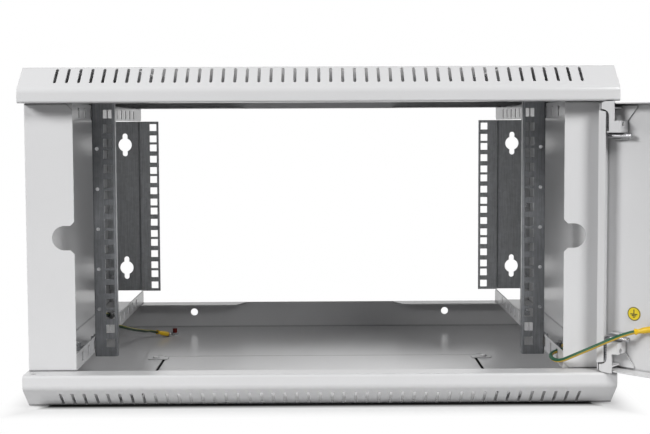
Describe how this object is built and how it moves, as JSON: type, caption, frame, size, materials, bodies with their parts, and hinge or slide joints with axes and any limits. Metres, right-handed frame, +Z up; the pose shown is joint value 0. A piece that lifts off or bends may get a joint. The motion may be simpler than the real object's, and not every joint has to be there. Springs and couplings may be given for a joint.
{
  "type": "wall mount network cabinet",
  "caption": "Wall mount steel network cabinet with slotted bevelled covers, rack rails, spring-pin hinged steel door with a cam lock, and earth leads.",
  "frame": {"origin": "middle of the base that the cabinet stands on, halfway between its sides and between its front ridge and its rear", "axes": "+X to the right seen from the front, towards the hinge; +Y from the open front to the wall; +Z up"},
  "size_m": [1.0252, 0.8466, 0.347],
  "materials": {
    "powder_coat": "fine textured satin",
    "galvanised_steel": "zinc coated, dull spangle",
    "zinc_plated_fasteners": "bright zinc",
    "bright_pin_steel": "nickel plated",
    "spring_steel": "drawn wire",
    "lock_chrome": "polished",
    "cam_steel": "zinc plated",
    "copper_plated_stud": "dark copper flash",
    "tinned_lug": "tinned copper",
    "yellow_sleeve": "soft gloss",
    "green_yellow_insulation": "soft gloss, green and yellow"
  },
  "bodies": {
    "cabinet": {"bottom_cover": "powder_coat", "bottom_entry_plate": "powder_coat", "bracket_screws": "zinc_plated_fasteners", "cabinet_lugs": "tinned_lug", "cabinet_sleeves": "yellow_sleeve", "door_earth_lead": "green_yellow_insulation", "entry_plate_screws": "zinc_plated_fasteners", "floor_earth_lead": "green_yellow_insulation", "floor_stud": "copper_plated_stud", "floor_stud_nut": "zinc_plated_fasteners", "front_rail_left": "galvanised_steel", "front_rail_right": "galvanised_steel", "rail_bolts": "zinc_plated_fasteners", "rail_nuts": "zinc_plated_fasteners", "rear_bracket_left": "galvanised_steel", "rear_bracket_right": "galvanised_steel", "side_nuts": "zinc_plated_fasteners", "side_panel_left": "powder_coat", "side_panel_right": "powder_coat", "side_screws": "zinc_plated_fasteners", "top_cover": "powder_coat", "top_entry_plate": "powder_coat"},
    "door": {"door_panel": "powder_coat", "hinge_bracket_upper": "powder_coat", "hinge_bracket_lower": "powder_coat", "hinge_spring_upper": "spring_steel", "hinge_spring_lower": "spring_steel", "lock_housing": "lock_chrome", "lock_nut": "zinc_plated_fasteners", "door_stud": "copper_plated_stud", "door_stud_nut": "zinc_plated_fasteners", "door_lug": "tinned_lug", "door_sleeve": "yellow_sleeve"},
    "pin_upper": {"hinge_pin_upper": "bright_pin_steel"},
    "pin_lower": {"hinge_pin_lower": "bright_pin_steel"},
    "lock": {"lock_core": "lock_chrome", "lock_cam": "cam_steel", "lock_cam_screw": "zinc_plated_fasteners"}
  },
  "joints": [
    {"name": "door_hinge", "type": "hinge", "parent": "cabinet", "child": "door", "pos_m": [0.2905, -0.215, 0.1735], "axis": [0, 0, 1], "range_deg": [-137, 43], "deforming": ["door_earth_lead"]},
    {"name": "pin_upper_slide", "type": "slide", "parent": "door", "child": "pin_upper", "axis": [0, 0, -1], "range_m": [0, 0.007], "stiffness_N_per_m": 400, "springref_m": -0.008, "deforming": ["hinge_spring_upper"]},
    {"name": "pin_lower_slide", "type": "slide", "parent": "door", "child": "pin_lower", "axis": [0, 0, 1], "range_m": [0, 0.007], "stiffness_N_per_m": 400, "springref_m": -0.008, "deforming": ["hinge_spring_lower"]},
    {"name": "lock_turn", "type": "hinge", "parent": "door", "child": "lock", "pos_m": [0.69993, -0.58313, 0.1735], "axis": [0.682, 0.7314, 0], "range_deg": [0, 90]}
  ]
}
